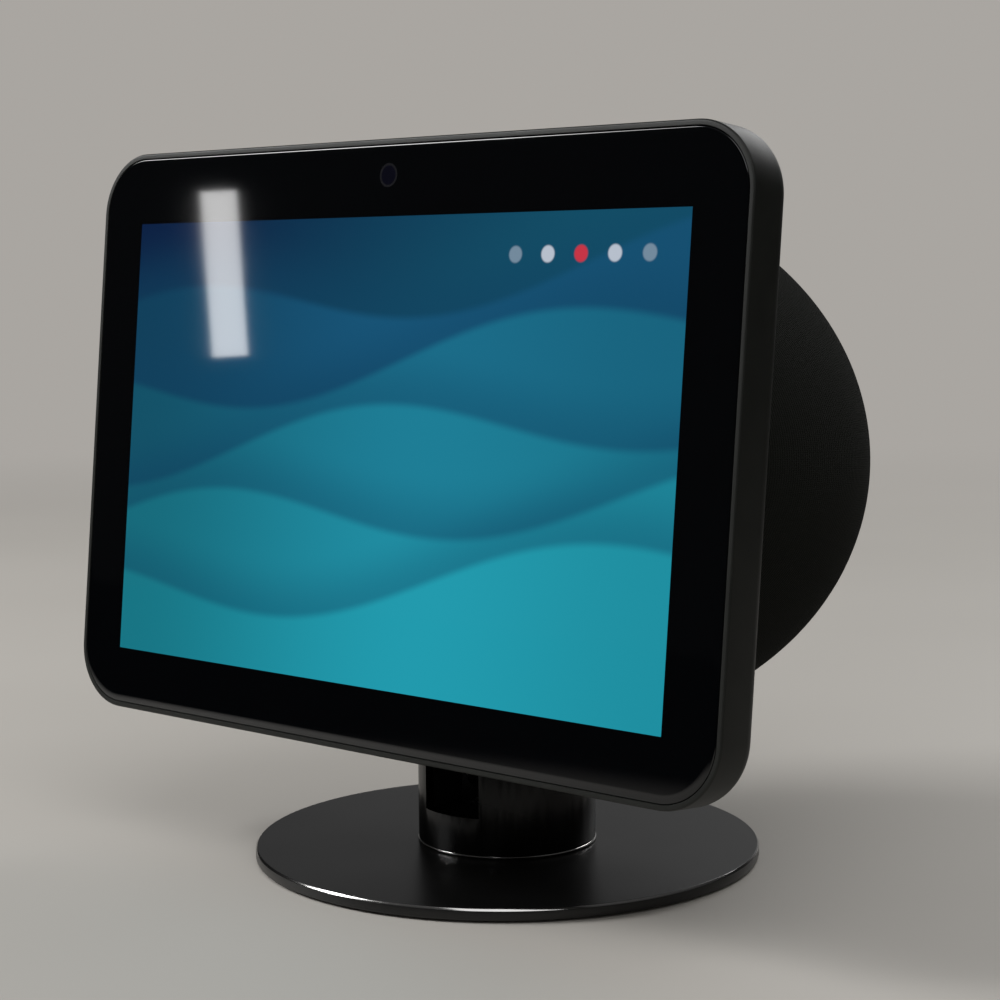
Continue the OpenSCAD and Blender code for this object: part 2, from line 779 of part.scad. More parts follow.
base_disc();
foot_pad();
spindle();
spindle_screws();
slip_washer();
thrust_washer();
spindle_nut();
foot_ring();
post_sleeve();
post_core();
swivel_bush();
hinge_pin();
friction_washers();
tilt_bracket();
bracket_screws();
front_housing();
cover_glass();
glass_gasket();
lcd_panel();
light_guide();
backlight_tray();
mid_frame();
frame_screws();
shell_screws();
rear_shell();
fabric_cover();
main_board();
board_screws();
shield_can();
heat_sink();
wireless_module();
antenna_boards();
display_flex();
power_inlet();
inlet_board();
speaker_box();
speaker_screws();
driver_frames();
driver_cones();
driver_magnets();
passive_radiator();
camera_module();
camera_lens();
light_sensor();
mic_board();
button_board();
button_switches();
volume_up();
volume_down();
mute_button();
camera_shutter();
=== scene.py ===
# The looks of the smart display: a glass-fronted slab on a deep knitted speaker body, carried by a slotted
# post on a thin black disc. Metres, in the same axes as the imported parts: +Z up, the screen faces -Y.
import json
import math

import bmesh
import bpy
import numpy as np
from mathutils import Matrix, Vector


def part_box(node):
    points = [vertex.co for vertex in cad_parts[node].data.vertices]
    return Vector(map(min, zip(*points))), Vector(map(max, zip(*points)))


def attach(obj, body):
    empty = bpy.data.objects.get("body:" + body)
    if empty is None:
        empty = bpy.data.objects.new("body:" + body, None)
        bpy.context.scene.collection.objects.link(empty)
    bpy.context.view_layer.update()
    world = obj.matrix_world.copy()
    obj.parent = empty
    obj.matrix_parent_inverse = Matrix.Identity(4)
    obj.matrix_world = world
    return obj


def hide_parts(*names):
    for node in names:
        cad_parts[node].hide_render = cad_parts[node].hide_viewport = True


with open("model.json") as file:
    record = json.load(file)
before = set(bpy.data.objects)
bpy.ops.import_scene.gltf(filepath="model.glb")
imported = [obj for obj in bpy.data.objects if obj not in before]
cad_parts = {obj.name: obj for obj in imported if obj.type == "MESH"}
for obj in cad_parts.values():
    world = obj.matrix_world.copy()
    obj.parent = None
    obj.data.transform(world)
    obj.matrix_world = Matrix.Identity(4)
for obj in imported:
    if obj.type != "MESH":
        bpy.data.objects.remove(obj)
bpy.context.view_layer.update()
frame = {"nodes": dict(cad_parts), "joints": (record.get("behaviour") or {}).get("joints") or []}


# ---- camera -------------------------------------------------------------------------------------------
# A long lens held a little above the screen's middle, to the right of the display, looking slightly down.
CAMERA_AT = (0.3447, -0.3952, 0.1411)
CAMERA_TURN = math.radians(41.22)
CAMERA_DIP = math.radians(5.93)
CAMERA_ROLL = math.radians(-0.46)
CAMERA_LENS = 78.4


def look_directions(turn, dip, roll):
    """The camera's right, up and forward directions: turned about Z, dipped below level, then rolled."""
    ahead = np.array([-math.sin(turn) * math.cos(dip), math.cos(turn) * math.cos(dip), -math.sin(dip)])
    level = np.array([math.cos(turn), math.sin(turn), 0.0])
    upright = np.cross(level, ahead)
    right = math.cos(roll) * level + math.sin(roll) * upright
    return right, np.cross(right, ahead), ahead


camera = bpy.data.objects.new("camera", bpy.data.cameras.new("camera"))
bpy.context.scene.collection.objects.link(camera)
camera_right, camera_up, camera_ahead = look_directions(CAMERA_TURN, CAMERA_DIP, CAMERA_ROLL)
pose = np.eye(4)
pose[:3, 0], pose[:3, 1], pose[:3, 2], pose[:3, 3] = camera_right, camera_up, -camera_ahead, CAMERA_AT
camera.matrix_world = pose.T.tolist()
camera.data.lens = CAMERA_LENS
camera.data.sensor_width = 36
camera.data.clip_start = 0.01
bpy.context.scene.camera = camera
bpy.context.scene.view_settings.view_transform = "Standard"


# ---- floor and studio light ---------------------------------------------------------------------------
# A plain pale floor, a soft key from the left, a broad soft light overhead, another behind, and one narrow
# strip whose reflection shows in the glass.
def new_finish(name, colour, roughness, metallic=0.0, ior=1.5):
    """An empty node material: its shader with the constant values set on the shader's own sockets."""
    finish = bpy.data.materials.new(name)
    finish.use_nodes = True
    shader = finish.node_tree.nodes["Principled BSDF"]
    shader.inputs["Base Color"].default_value = (*colour, 1)
    shader.inputs["Roughness"].default_value = roughness
    shader.inputs["Metallic"].default_value = metallic
    shader.inputs["IOR"].default_value = ior
    return finish, finish.node_tree, shader


def add_node(tree, kind, **settings):
    """A node of that kind with its properties set; integer-named inputs such as i0=... set its sockets."""
    node = tree.nodes.new(kind)
    for key, value in settings.items():
        if key[0] == "i" and key[1:].isdigit():
            node.inputs[int(key[1:])].default_value = value
        else:
            setattr(node, key, value)
    return node


def object_noise(tree, scale, detail=3.0, stretch=(1, 1, 1)):
    """Noise on the piece's own coordinates: scale is in cycles per metre, stretch slows it along an axis."""
    where = add_node(tree, "ShaderNodeTexCoord")
    mapping = add_node(tree, "ShaderNodeMapping")
    mapping.inputs["Scale"].default_value = stretch
    noise = add_node(tree, "ShaderNodeTexNoise")
    noise.inputs["Scale"].default_value = scale
    noise.inputs["Detail"].default_value = detail
    tree.links.new(where.outputs["Object"], mapping.inputs["Vector"])
    tree.links.new(mapping.outputs["Vector"], noise.inputs["Vector"])
    return noise.outputs["Fac"]


def vary_colour(tree, shader, factor, dark, light, low=0.35, high=0.65):
    """Base colour that drifts between two close colours with the factor."""
    ramp = add_node(tree, "ShaderNodeValToRGB")
    ramp.color_ramp.elements[0].position = low
    ramp.color_ramp.elements[0].color = (*dark, 1)
    ramp.color_ramp.elements[1].position = high
    ramp.color_ramp.elements[1].color = (*light, 1)
    tree.links.new(factor, ramp.inputs["Fac"])
    tree.links.new(ramp.outputs["Color"], shader.inputs["Base Color"])


def vary_roughness(tree, shader, factor, low, high):
    """Roughness that drifts between two values with the factor."""
    span = add_node(tree, "ShaderNodeMapRange", i3=low, i4=high)
    tree.links.new(factor, span.inputs[0])
    tree.links.new(span.outputs[0], shader.inputs["Roughness"])


def raise_bumps(tree, shader, height, strength, distance):
    """Surface relief from a height; distance is the relief's depth in metres."""
    bump = add_node(tree, "ShaderNodeBump")
    bump.inputs["Strength"].default_value = strength
    bump.inputs["Distance"].default_value = distance
    tree.links.new(height, bump.inputs["Height"])
    tree.links.new(bump.outputs["Normal"], shader.inputs["Normal"])


BACKDROP = (0.42, 0.40, 0.375)
BACKDROP_GLOW = 0.95
FLOOR_FADE = (0.55, 1.3)
MIRRORED_FADE = (0.30, 0.60)


def plain_floor_finish():
    """A pale matte floor that fades into the plain backdrop with distance, the same all round. Shiny surfaces
    see it end sooner, as they would a small table's top."""
    finish, tree, shader = new_finish("plain_floor", (0.40, 0.38, 0.355), 0.6)
    vary_colour(tree, shader, object_noise(tree, 3.0), (0.395, 0.376, 0.348), (0.415, 0.396, 0.368))
    where = add_node(tree, "ShaderNodeTexCoord")
    far = add_node(tree, "ShaderNodeVectorMath", operation="LENGTH")
    tree.links.new(where.outputs["Object"], far.inputs[0])
    backdrop, nothing = add_node(tree, "ShaderNodeEmission"), add_node(tree, "ShaderNodeEmission")
    backdrop.inputs["Color"].default_value = (*BACKDROP, 1)
    backdrop.inputs["Strength"].default_value = BACKDROP_GLOW
    nothing.inputs["Strength"].default_value = 0.0
    blends = []
    for (near, away), beyond in ((FLOOR_FADE, backdrop), (MIRRORED_FADE, nothing)):
        fade = add_node(tree, "ShaderNodeMapRange", interpolation_type="SMOOTHSTEP", i1=near, i2=away)
        blend = add_node(tree, "ShaderNodeMixShader")
        tree.links.new(far.outputs["Value"], fade.inputs[0])
        tree.links.new(fade.outputs[0], blend.inputs[0])
        tree.links.new(shader.outputs[0], blend.inputs[1])
        tree.links.new(beyond.outputs[0], blend.inputs[2])
        blends.append(blend)
    path, top = add_node(tree, "ShaderNodeLightPath"), add_node(tree, "ShaderNodeMixShader")
    tree.links.new(path.outputs["Is Glossy Ray"], top.inputs[0])
    tree.links.new(blends[0].outputs[0], top.inputs[1])
    tree.links.new(blends[1].outputs[0], top.inputs[2])
    tree.links.new(top.outputs[0], tree.nodes["Material Output"].inputs["Surface"])
    return finish


floor_mesh = bpy.data.meshes.new("floor")
FLOOR_HALF = 4.0
floor_corners = [(x * FLOOR_HALF, y * FLOOR_HALF, 0) for x, y in ((-1, -1), (1, -1), (1, 1), (-1, 1))]
floor_mesh.from_pydata(floor_corners, [], [(0, 1, 2, 3)])
floor = bpy.data.objects.new("floor", floor_mesh)
bpy.context.scene.collection.objects.link(floor)
floor.data.materials.append(plain_floor_finish())


def panel_light(name, at, aim, width, height, power, tilt=0.0):
    """A rectangular soft light that faces the point aim; tilt turns it about its own beam."""
    lamp = bpy.data.lights.new(name, "AREA")
    lamp.shape = "RECTANGLE"
    lamp.size, lamp.size_y, lamp.energy = width, height, power
    holder = bpy.data.objects.new(name, lamp)
    bpy.context.scene.collection.objects.link(holder)
    beam = np.array(aim, float) - np.array(at, float)
    beam /= np.linalg.norm(beam)
    side = np.cross(beam, (0, 0, 1))
    side /= np.linalg.norm(side)
    over = np.cross(side, beam)
    turned_side = math.cos(tilt) * side + math.sin(tilt) * over
    turned_over = np.cross(turned_side, beam)
    place = np.eye(4)
    place[:3, 0], place[:3, 1], place[:3, 2], place[:3, 3] = turned_side, turned_over, -beam, at
    holder.matrix_world = place.T.tolist()
    return holder


middle = (0.0, 0.0, 0.09)
panel_light("key", (-0.95, -0.72, 0.86), middle, 0.55, 0.55, 16)
panel_light("overhead", (0.65, -0.70, 1.4), middle, 1.2, 1.2, 10)
panel_light("back", (-0.15, 1.35, 1.0), middle, 0.9, 0.6, 7)

# A plain straight strip, out of the camera's sight, that gives the glass its highlight.
STRIP_AT, GLASS_SPOT = (-0.9545, -0.8265, 0.301), (-0.0625, -0.041, 0.142)
strip = panel_light("strip", STRIP_AT, GLASS_SPOT, 0.028, 0.13, 0.11, tilt=0.2)
strip.visible_camera = False


def direction_band(tree, direction, low, high, out_low, out_high):
    """A strength that goes smoothly from out_low to out_high as the ray turns towards a direction."""
    where = add_node(tree, "ShaderNodeTexCoord")
    toward = add_node(tree, "ShaderNodeVectorMath", operation="DOT_PRODUCT")
    toward.inputs[1].default_value = tuple(direction)
    tree.links.new(where.outputs["Generated"], toward.inputs[0])
    spans = dict(i1=low, i2=high, i3=out_low, i4=out_high)
    band = add_node(tree, "ShaderNodeMapRange", interpolation_type="SMOOTHSTEP", **spans)
    tree.links.new(toward.outputs["Value"], band.inputs[0])
    return band.outputs[0]


def studio_world():
    """Pale surroundings for the eye and an even soft light for matte surfaces. Shiny surfaces see a dim room
    that is brighter low down behind the display."""
    world = bpy.data.worlds.new("studio")
    bpy.context.scene.world = world
    world.use_nodes = True
    tree = world.node_tree
    tree.nodes.clear()
    output = add_node(tree, "ShaderNodeOutputWorld")
    behind = direction_band(tree, (-0.50, 0.85, 0.15), 0.80, 0.995, 0.0, 0.32)
    low_down = add_node(tree, "ShaderNodeMath", operation="MULTIPLY")
    tree.links.new(behind, low_down.inputs[0])
    tree.links.new(direction_band(tree, (0, 0, 1), 0.20, 0.34, 1.0, 0.45), low_down.inputs[1])
    right_side = direction_band(tree, (0.85, 0.5, 0.15), 0.5, 0.98, 0.0, 0.04)
    above = direction_band(tree, (0, 0, 1), 0.3, 1.0, 0.015, 0.15)
    gathered = add_node(tree, "ShaderNodeMath", operation="ADD")
    tree.links.new(low_down.outputs[0], gathered.inputs[0])
    tree.links.new(above, gathered.inputs[1])
    mirrored = add_node(tree, "ShaderNodeMath", operation="ADD")
    tree.links.new(gathered.outputs[0], mirrored.inputs[0])
    tree.links.new(right_side, mirrored.inputs[1])
    backdrop, soft, glints = (add_node(tree, "ShaderNodeBackground") for _ in range(3))
    backdrop.inputs["Color"].default_value = (*BACKDROP, 1)
    backdrop.inputs["Strength"].default_value = BACKDROP_GLOW
    soft.inputs["Color"].default_value = (1.0, 0.985, 0.95, 1)
    soft.inputs["Strength"].default_value = 0.30
    tree.links.new(mirrored.outputs[0], glints.inputs["Strength"])
    path = add_node(tree, "ShaderNodeLightPath")
    glossy, camera_seen = add_node(tree, "ShaderNodeMixShader"), add_node(tree, "ShaderNodeMixShader")
    tree.links.new(path.outputs["Is Glossy Ray"], glossy.inputs[0])
    tree.links.new(soft.outputs[0], glossy.inputs[1])
    tree.links.new(glints.outputs[0], glossy.inputs[2])
    tree.links.new(path.outputs["Is Camera Ray"], camera_seen.inputs[0])
    tree.links.new(glossy.outputs[0], camera_seen.inputs[1])
    tree.links.new(backdrop.outputs[0], camera_seen.inputs[2])
    tree.links.new(camera_seen.outputs[0], output.inputs["Surface"])


studio_world()


# ---- base disc ----------------------------------------------------------------------------------------
# A laser-cut steel disc, painted satin black, with a bare polished chamfer turned round its top edge.
def new_piece(name, points, faces, finish, smooth=True):
    """A mesh object at the origin whose place is in its points."""
    mesh = bpy.data.meshes.new(name)
    faces = faces.tolist() if isinstance(faces, np.ndarray) else faces
    mesh.from_pydata(np.asarray(points, float).reshape(-1, 3).tolist(), [], faces)
    mesh.materials.append(finish)
    mesh.polygons.foreach_set("use_smooth", np.full(len(mesh.polygons), smooth))
    mesh.update()
    piece = bpy.data.objects.new(name, mesh)
    bpy.context.scene.collection.objects.link(piece)
    return piece


def grid_faces(rows, columns, close_rows=False):
    """Quads of a grid of points stored row by row, whose columns close into a ring."""
    row = np.arange(rows if close_rows else rows - 1)[:, None]
    column = np.arange(columns)[None, :]
    after = (row + 1) % rows
    beside = (column + 1) % columns
    here, next_row = row * columns, after * columns
    corners = (here + column, here + beside, next_row + beside, next_row + column)
    return np.stack([np.broadcast_to(c, (row.size, columns)) for c in corners], -1).reshape(-1, 4)


def turned(name, profile, finish, segments=192, closed=False):
    """A solid of revolution about Z: each (radius, height) of the profile is swept round a circle."""
    profile = np.asarray(profile, float)
    angle = np.linspace(0, 2 * np.pi, segments, endpoint=False)
    radius, height = profile[:, 0][:, None], profile[:, 1][:, None]
    points = np.stack([radius * np.cos(angle), radius * np.sin(angle), height + 0 * angle], -1)
    return new_piece(name, points, grid_faces(len(profile), segments, closed), finish)


def satin_black_finish(name, shade, low, high, specular=0.5):
    """Powder-coated metal: near black, with fine orange peel and slightly uneven sheen."""
    finish, tree, shader = new_finish(name, (shade, shade, shade), low)
    vary_colour(tree, shader, object_noise(tree, 60, 4), (shade * 0.85,) * 3, (shade * 1.2,) * 3)
    shader.inputs["Specular IOR Level"].default_value = specular
    vary_roughness(tree, shader, object_noise(tree, 35, 1), low, high)
    raise_bumps(tree, shader, object_noise(tree, 2600, 2), 0.12, 0.00004)
    return finish


def polished_edge_finish():
    """Bare turned steel under clear lacquer: fine rings round the axis and a bright, sharp shine."""
    finish, tree, shader = new_finish("polished_edge", (0.30, 0.295, 0.29), 0.14, metallic=1.0)
    vary_roughness(tree, shader, object_noise(tree, 900, 2, (0.05, 0.05, 1)), 0.10, 0.20)
    vary_colour(tree, shader, object_noise(tree, 50, 3), (0.27, 0.265, 0.26), (0.33, 0.325, 0.32))
    return finish


disc_low, disc_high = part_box("base_disc")
disc_r = disc_high.x
disc_top = disc_high.z
MM = 0.001
CHAMFER_W = 0.4 * MM
CHAMFER_H = 0.5 * MM
EDGE = 0.08 * MM
disc_black = satin_black_finish("satin_black_disc", 0.0012, 0.31, 0.36)
disc_profile = [
    (0.0, disc_low.z),
    (disc_r - 4 * EDGE, disc_low.z),
    (disc_r - EDGE, disc_low.z + EDGE),
    (disc_r, disc_low.z + 4 * EDGE),
    (disc_r, disc_top - CHAMFER_H - EDGE),
    (disc_r - EDGE / 3, disc_top - CHAMFER_H),
    (disc_r - CHAMFER_W + EDGE / 3, disc_top - EDGE / 2),
    (disc_r - CHAMFER_W - EDGE / 2, disc_top),
    (disc_r - 3 * MM, disc_top),
    (disc_r * 0.5, disc_top),
    (0.0, disc_top),
]
stand_disc = turned("stand_disc", disc_profile, disc_black)
stand_disc.data.materials.append(polished_edge_finish())
disc_faces = len(stand_disc.data.polygons)
disc_rows = np.arange(disc_faces) // (disc_faces // (len(disc_profile) - 1))
stand_disc.data.polygons.foreach_set("material_index", (disc_rows == 5).astype(np.int32))


def weld(piece, reach=1e-6):
    """Joins points that coincide, which closes poles and seams, and turns the faces outwards."""
    work = bmesh.new()
    work.from_mesh(piece.data)
    bmesh.ops.remove_doubles(work, verts=work.verts, dist=reach)
    bmesh.ops.recalc_face_normals(work, faces=work.faces)
    work.to_mesh(piece.data)
    work.free()
    piece.data.update()


def crease_shading(piece, degrees):
    """Smooth shading that breaks at edges sharper than the angle."""
    piece.data.set_sharp_from_angle(angle=math.radians(degrees))


weld(stand_disc)
crease_shading(stand_disc, 25)
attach(stand_disc, "base")
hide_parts("base_disc")


# ---- foot pad -----------------------------------------------------------------------------------------
# A die-cut rubber sheet glued under the disc, with three moulded grip rings.
def rubber_finish(name, shade):
    """Matte black rubber with a fine dusty tooth."""
    finish, tree, shader = new_finish(name, (shade, shade, shade), 0.8)
    vary_colour(tree, shader, object_noise(tree, 120, 4), (shade * 0.8,) * 3, (shade * 1.4,) * 3)
    vary_roughness(tree, shader, object_noise(tree, 90, 3), 0.7, 0.9)
    raise_bumps(tree, shader, object_noise(tree, 1800, 3), 0.25, 0.00008)
    return finish


pad_low, pad_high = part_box("foot_pad")
GRIP_RINGS = (20 * MM, 32 * MM, 44 * MM)
GRIP_W = 1.5 * MM
GRIP_H = 0.3 * MM
pad_profile = [(0.0, pad_high.z), (pad_high.x, pad_high.z)]
pad_profile += [(pad_high.x, pad_low.z + EDGE), (pad_high.x - EDGE, pad_low.z)]
for ring in reversed(GRIP_RINGS):
    pad_profile += [(ring + GRIP_W, pad_low.z), (ring + GRIP_W - EDGE, pad_low.z + GRIP_H)]
    pad_profile += [(ring + EDGE, pad_low.z + GRIP_H), (ring, pad_low.z)]
pad_profile.append((0.0, pad_low.z))
foot_sheet = turned("foot_sheet", pad_profile, rubber_finish("foot_rubber", 0.022), 128)
weld(foot_sheet)
crease_shading(foot_sheet, 30)
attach(foot_sheet, "base")
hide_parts("foot_pad")


# ---- post ---------------------------------------------------------------------------------------------
# A short anodised tube over a cast core. A slot runs through it from front to back for the tilt arm, and
# a thin bright ring trims its foot.
def chrome_finish():
    """Polished bright metal with faint turning marks."""
    finish, tree, shader = new_finish("bright_ring", (0.78, 0.77, 0.75), 0.12, metallic=1.0)
    vary_roughness(tree, shader, object_noise(tree, 700, 2, (0.1, 0.1, 1)), 0.08, 0.18)
    vary_colour(tree, shader, object_noise(tree, 80, 3), (0.74, 0.73, 0.71), (0.80, 0.79, 0.77))
    return finish


ring_low, ring_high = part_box("foot_ring")
RING_W = 1.4 * MM
ring_profile = [
    (ring_high.x - RING_W, ring_low.z),
    (ring_high.x - EDGE, ring_low.z),
    (ring_high.x, ring_low.z + EDGE),
    (ring_high.x, ring_high.z - EDGE),
    (ring_high.x - EDGE, ring_high.z),
    (ring_high.x - RING_W, ring_high.z),
]
trim_ring = turned("trim_ring", ring_profile, chrome_finish(), 160, closed=True)
weld(trim_ring)
crease_shading(trim_ring, 50)
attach(trim_ring, "post")
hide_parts("foot_ring")


def softened_copy(node, name, finish, edge, sharp=30):
    """A copy of a CAD part with its points joined, flat faces merged and its sharp edges rounded."""
    piece = bpy.data.objects.new(name, frame["nodes"][node].data.copy())
    bpy.context.scene.collection.objects.link(piece)
    piece.data.materials.clear()
    piece.data.materials.append(finish)
    piece.data.polygons.foreach_set("material_index", np.zeros(len(piece.data.polygons), np.int32))
    work = bmesh.new()
    work.from_mesh(piece.data)
    bmesh.ops.remove_doubles(work, verts=work.verts, dist=2e-6)
    bmesh.ops.dissolve_limit(work, angle_limit=math.radians(1.0), verts=work.verts, edges=work.edges)
    work.to_mesh(piece.data)
    work.free()
    piece.data.polygons.foreach_set("use_smooth", np.ones(len(piece.data.polygons), bool))
    rounding = piece.modifiers.new("rounded edges", "BEVEL")
    rounding.width = edge
    rounding.segments = 3
    rounding.limit_method = "ANGLE"
    rounding.angle_limit = math.radians(sharp)
    rounding.harden_normals = True
    return piece


post_black = satin_black_finish("satin_black_post", 0.0014, 0.25, 0.29, 0.25)
post_tube = softened_copy("post_sleeve", "post_tube", post_black, 0.3 * MM)
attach(post_tube, "post")
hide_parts("post_sleeve")


# ---- slab shell ---------------------------------------------------------------------------------------
# The screen's housing: one moulding in fine-grained charcoal plastic, with a thin rim round the glass,
# upright sides and a rounded rear edge. It is open at the back where the speaker body joins it.
tilt_joint = next(j for j in frame["joints"] if j["name"] == "tilt")
LEAN = -math.radians(tilt_joint["range_deg"][0])
glass_low, glass_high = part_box("cover_glass")
slab_low, slab_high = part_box("front_housing")
GLASS_T = 1.1 * MM
glass_middle = (np.array(glass_low) + np.array(glass_high)) / 2
depth_way = np.array([0, math.cos(LEAN), -math.sin(LEAN)])
up_way = np.array([0, math.sin(LEAN), math.cos(LEAN)])
screen_middle = glass_middle - depth_way * GLASS_T / 2


def on_screen(x, depth, height):
    """Points given in the screen's own axes: x right, depth behind the glass, height above its middle."""
    x, depth, height = np.broadcast_arrays(*(np.asarray(v, float) for v in (x, depth, height)))
    side_way = np.array([1.0, 0, 0])
    return screen_middle + x[..., None] * side_way + depth[..., None] * depth_way + height[..., None] * up_way


SLAB_W = slab_high.x - slab_low.x
SLAB_H = 139 * MM
SLAB_T = 13 * MM
SLAB_CORNER = 15 * MM
REAR_EDGE = 4.3 * MM
FRONT_EDGE = 0.5 * MM
RIM_W = 1.3 * MM
CORNER_STEPS = 24


def rounded_outline(width, height, radius, steps=CORNER_STEPS):
    """x and height of a rectangle with round corners: four quarter circles joined by straight sides."""
    quarter = np.linspace(0, np.pi / 2, steps)
    angle = np.concatenate([quarter + k * np.pi / 2 for k in range(4)])
    side_x = np.repeat([1, -1, -1, 1], steps) * (width / 2 - radius)
    side_z = np.repeat([1, 1, -1, -1], steps) * (height / 2 - radius)
    return side_x + radius * np.cos(angle), side_z + radius * np.sin(angle)


def swept_slab(name, profile, finish, closed):
    """A profile of (inset, depth) carried round the slab's outline, each step inset from the outside. It
    closes on itself, or else flat faces close its first and last steps."""
    rows = []
    for inset, depth in profile:
        x, z = rounded_outline(SLAB_W - 2 * inset, SLAB_H - 2 * inset, max(SLAB_CORNER - inset, 1.5 * MM))
        rows.append(on_screen(x, depth, z))
    around = 4 * CORNER_STEPS
    faces = grid_faces(len(rows), around, closed).tolist()
    if not closed:
        faces += [list(range(around))[::-1], list(range((len(rows) - 1) * around, len(rows) * around))]
    return new_piece(name, rows, faces, finish)


def arc(centre_inset, centre_depth, radius, start, end, steps):
    """(inset, depth) along a circular arc; 0 degrees points outwards and 90 degrees towards the back."""
    angle = np.radians(np.linspace(start, end, steps))
    return list(zip(centre_inset - radius * np.cos(angle), centre_depth + radius * np.sin(angle)))


def moulded_finish(name, colour, grain=0.5):
    """Spark-eroded moulding texture: matte charcoal plastic with a very fine even grain."""
    finish, tree, shader = new_finish(name, colour, 0.5)
    shader.inputs["Specular IOR Level"].default_value = 0.3
    darker, lighter = tuple(c * 0.88 for c in colour), tuple(c * 1.14 for c in colour)
    vary_colour(tree, shader, object_noise(tree, 140, 4), darker, lighter)
    vary_roughness(tree, shader, object_noise(tree, 70, 4), 0.42, 0.56)
    raise_bumps(tree, shader, object_noise(tree, 3200, 2), grain, 0.00005)
    return finish


charcoal = moulded_finish("charcoal_moulding", (0.0072, 0.0080, 0.0066))
SEAT_DEPTH = 1.5 * MM
LEDGE_BACK = 2.7 * MM
WALL = 2.0 * MM
OPENING_INSET = 36 * MM
slab_profile = [(RIM_W, SEAT_DEPTH), (RIM_W, 0.15 * MM), (RIM_W - 0.1 * MM, 0.0)]
slab_profile += arc(FRONT_EDGE, FRONT_EDGE, FRONT_EDGE, -90, 0, 6)
slab_profile += arc(REAR_EDGE, SLAB_T - REAR_EDGE, REAR_EDGE, 0, 90, 16)
slab_profile += [(OPENING_INSET, SLAB_T), (OPENING_INSET, SLAB_T - WALL), (REAR_EDGE, SLAB_T - WALL)]
LEDGE = WALL + 3 * MM
slab_profile += [(WALL, SLAB_T - REAR_EDGE), (WALL, LEDGE_BACK), (LEDGE, LEDGE_BACK), (LEDGE, SEAT_DEPTH)]
slab_shell = swept_slab("slab_shell", slab_profile, charcoal, closed=True)
weld(slab_shell)
crease_shading(slab_shell, 35)


def cut_out(piece, cutters):
    """Subtracts the closed cutter solids from a piece for good, and removes the cutters."""
    for cutter in cutters:
        weld(cutter)
        subtract = piece.modifiers.new("cut", "BOOLEAN")
        subtract.operation = "DIFFERENCE"
        subtract.solver = "EXACT"
        subtract.object = cutter
    bpy.context.view_layer.update()
    result = bpy.data.meshes.new_from_object(piece.evaluated_get(bpy.context.evaluated_depsgraph_get()))
    piece.modifiers.clear()
    piece.data = result
    for cutter in cutters:
        bpy.data.objects.remove(cutter)


def lozenge_prism(name, length, width, low, high, place, finish, edge=0.0, steps=10):
    """A bar with round ends: its outline lies in the first two of place's three directions, and it runs from
    low to high along the third. edge rounds the high end."""
    quarter = np.linspace(-np.pi / 2, np.pi / 2, steps)
    angle = np.concatenate([quarter, quarter + np.pi])
    shift = np.repeat([1, -1], steps) * (length - width) / 2
    rows = [(0.0, low, 0.0), (1.0, low, 0.0), (1.0, high - edge, 0.0)]
    if edge > 0:
        for a in np.radians((30, 60, 90)):
            rows.append((1.0, high - edge * (1 - math.sin(a)), edge * (1 - math.cos(a))))
    rows.append((0.0, high, 0.0))
    points = []
    for keep, along, inset in rows:
        radius = (width / 2 - inset) * keep
        across = shift * keep + radius * np.cos(angle)
        points.append(place(across, radius * np.sin(angle), np.full(2 * steps, along)))
    return new_piece(name, points, grid_faces(len(rows), 2 * steps), finish)


KEY_L, KEY_W, KEY_GAP = 12 * MM, 4.4 * MM, 0.3 * MM
KEY_DEPTH = 6.6 * MM
KEY_NODES = ("mute_button", "volume_down", "volume_up")
TOP = SLAB_H / 2


def key_middle(node):
    """Where a key sits along the top edge."""
    low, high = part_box(node)
    return (low.x + high.x) / 2


def top_place(x_middle):
    """Places x, depth and height for a piece on the top edge."""
    return lambda x, y, h: on_screen(x_middle + x, KEY_DEPTH + y, h)


CUT_LOW, CUT_HIGH = TOP - WALL - MM, TOP + MM
key_hole = (KEY_L + 2 * KEY_GAP, KEY_W + 2 * KEY_GAP, CUT_LOW, CUT_HIGH)
cutters = [lozenge_prism("cutter", *key_hole, top_place(key_middle(n)), charcoal) for n in KEY_NODES]
shutter_low, shutter_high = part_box("camera_shutter")
shutter_joint = next(j for j in frame["joints"] if j["child"] == "camera_shutter")
SHUTTER_TRAVEL = shutter_joint["range_m"][1]
SHUTTER_HALF = 4 * MM
shutter_x = (shutter_low.x + shutter_high.x) / 2
slot_x = shutter_x - SHUTTER_TRAVEL / 2
slot_l = SHUTTER_TRAVEL + 2 * (SHUTTER_HALF + KEY_GAP)
SLOT_W = 2.6 * MM
cutters.append(lozenge_prism("cutter", slot_l, SLOT_W, CUT_LOW, CUT_HIGH, top_place(slot_x), charcoal))

BODY_A, BODY_B = 87.1 * MM, 68.4 * MM
BODY_SEAM = 0.3 * MM
mouth_angle = np.linspace(0, 2 * np.pi, 160, endpoint=False)
mouth_x, mouth_z = (BODY_A + BODY_SEAM) * np.cos(mouth_angle), (BODY_B + BODY_SEAM) * np.sin(mouth_angle)
mouth_rows = [
    on_screen(keep * mouth_x, depth, keep * mouth_z)
    for keep, depth in ((0, 8 * MM), (1, 8 * MM), (1, 20 * MM), (0, 20 * MM))
]
cutters.append(new_piece("cutter", mouth_rows, grid_faces(4, len(mouth_angle)), charcoal))
cut_out(slab_shell, cutters)
crease_shading(slab_shell, 35)
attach(slab_shell, "head")
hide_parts("front_housing")


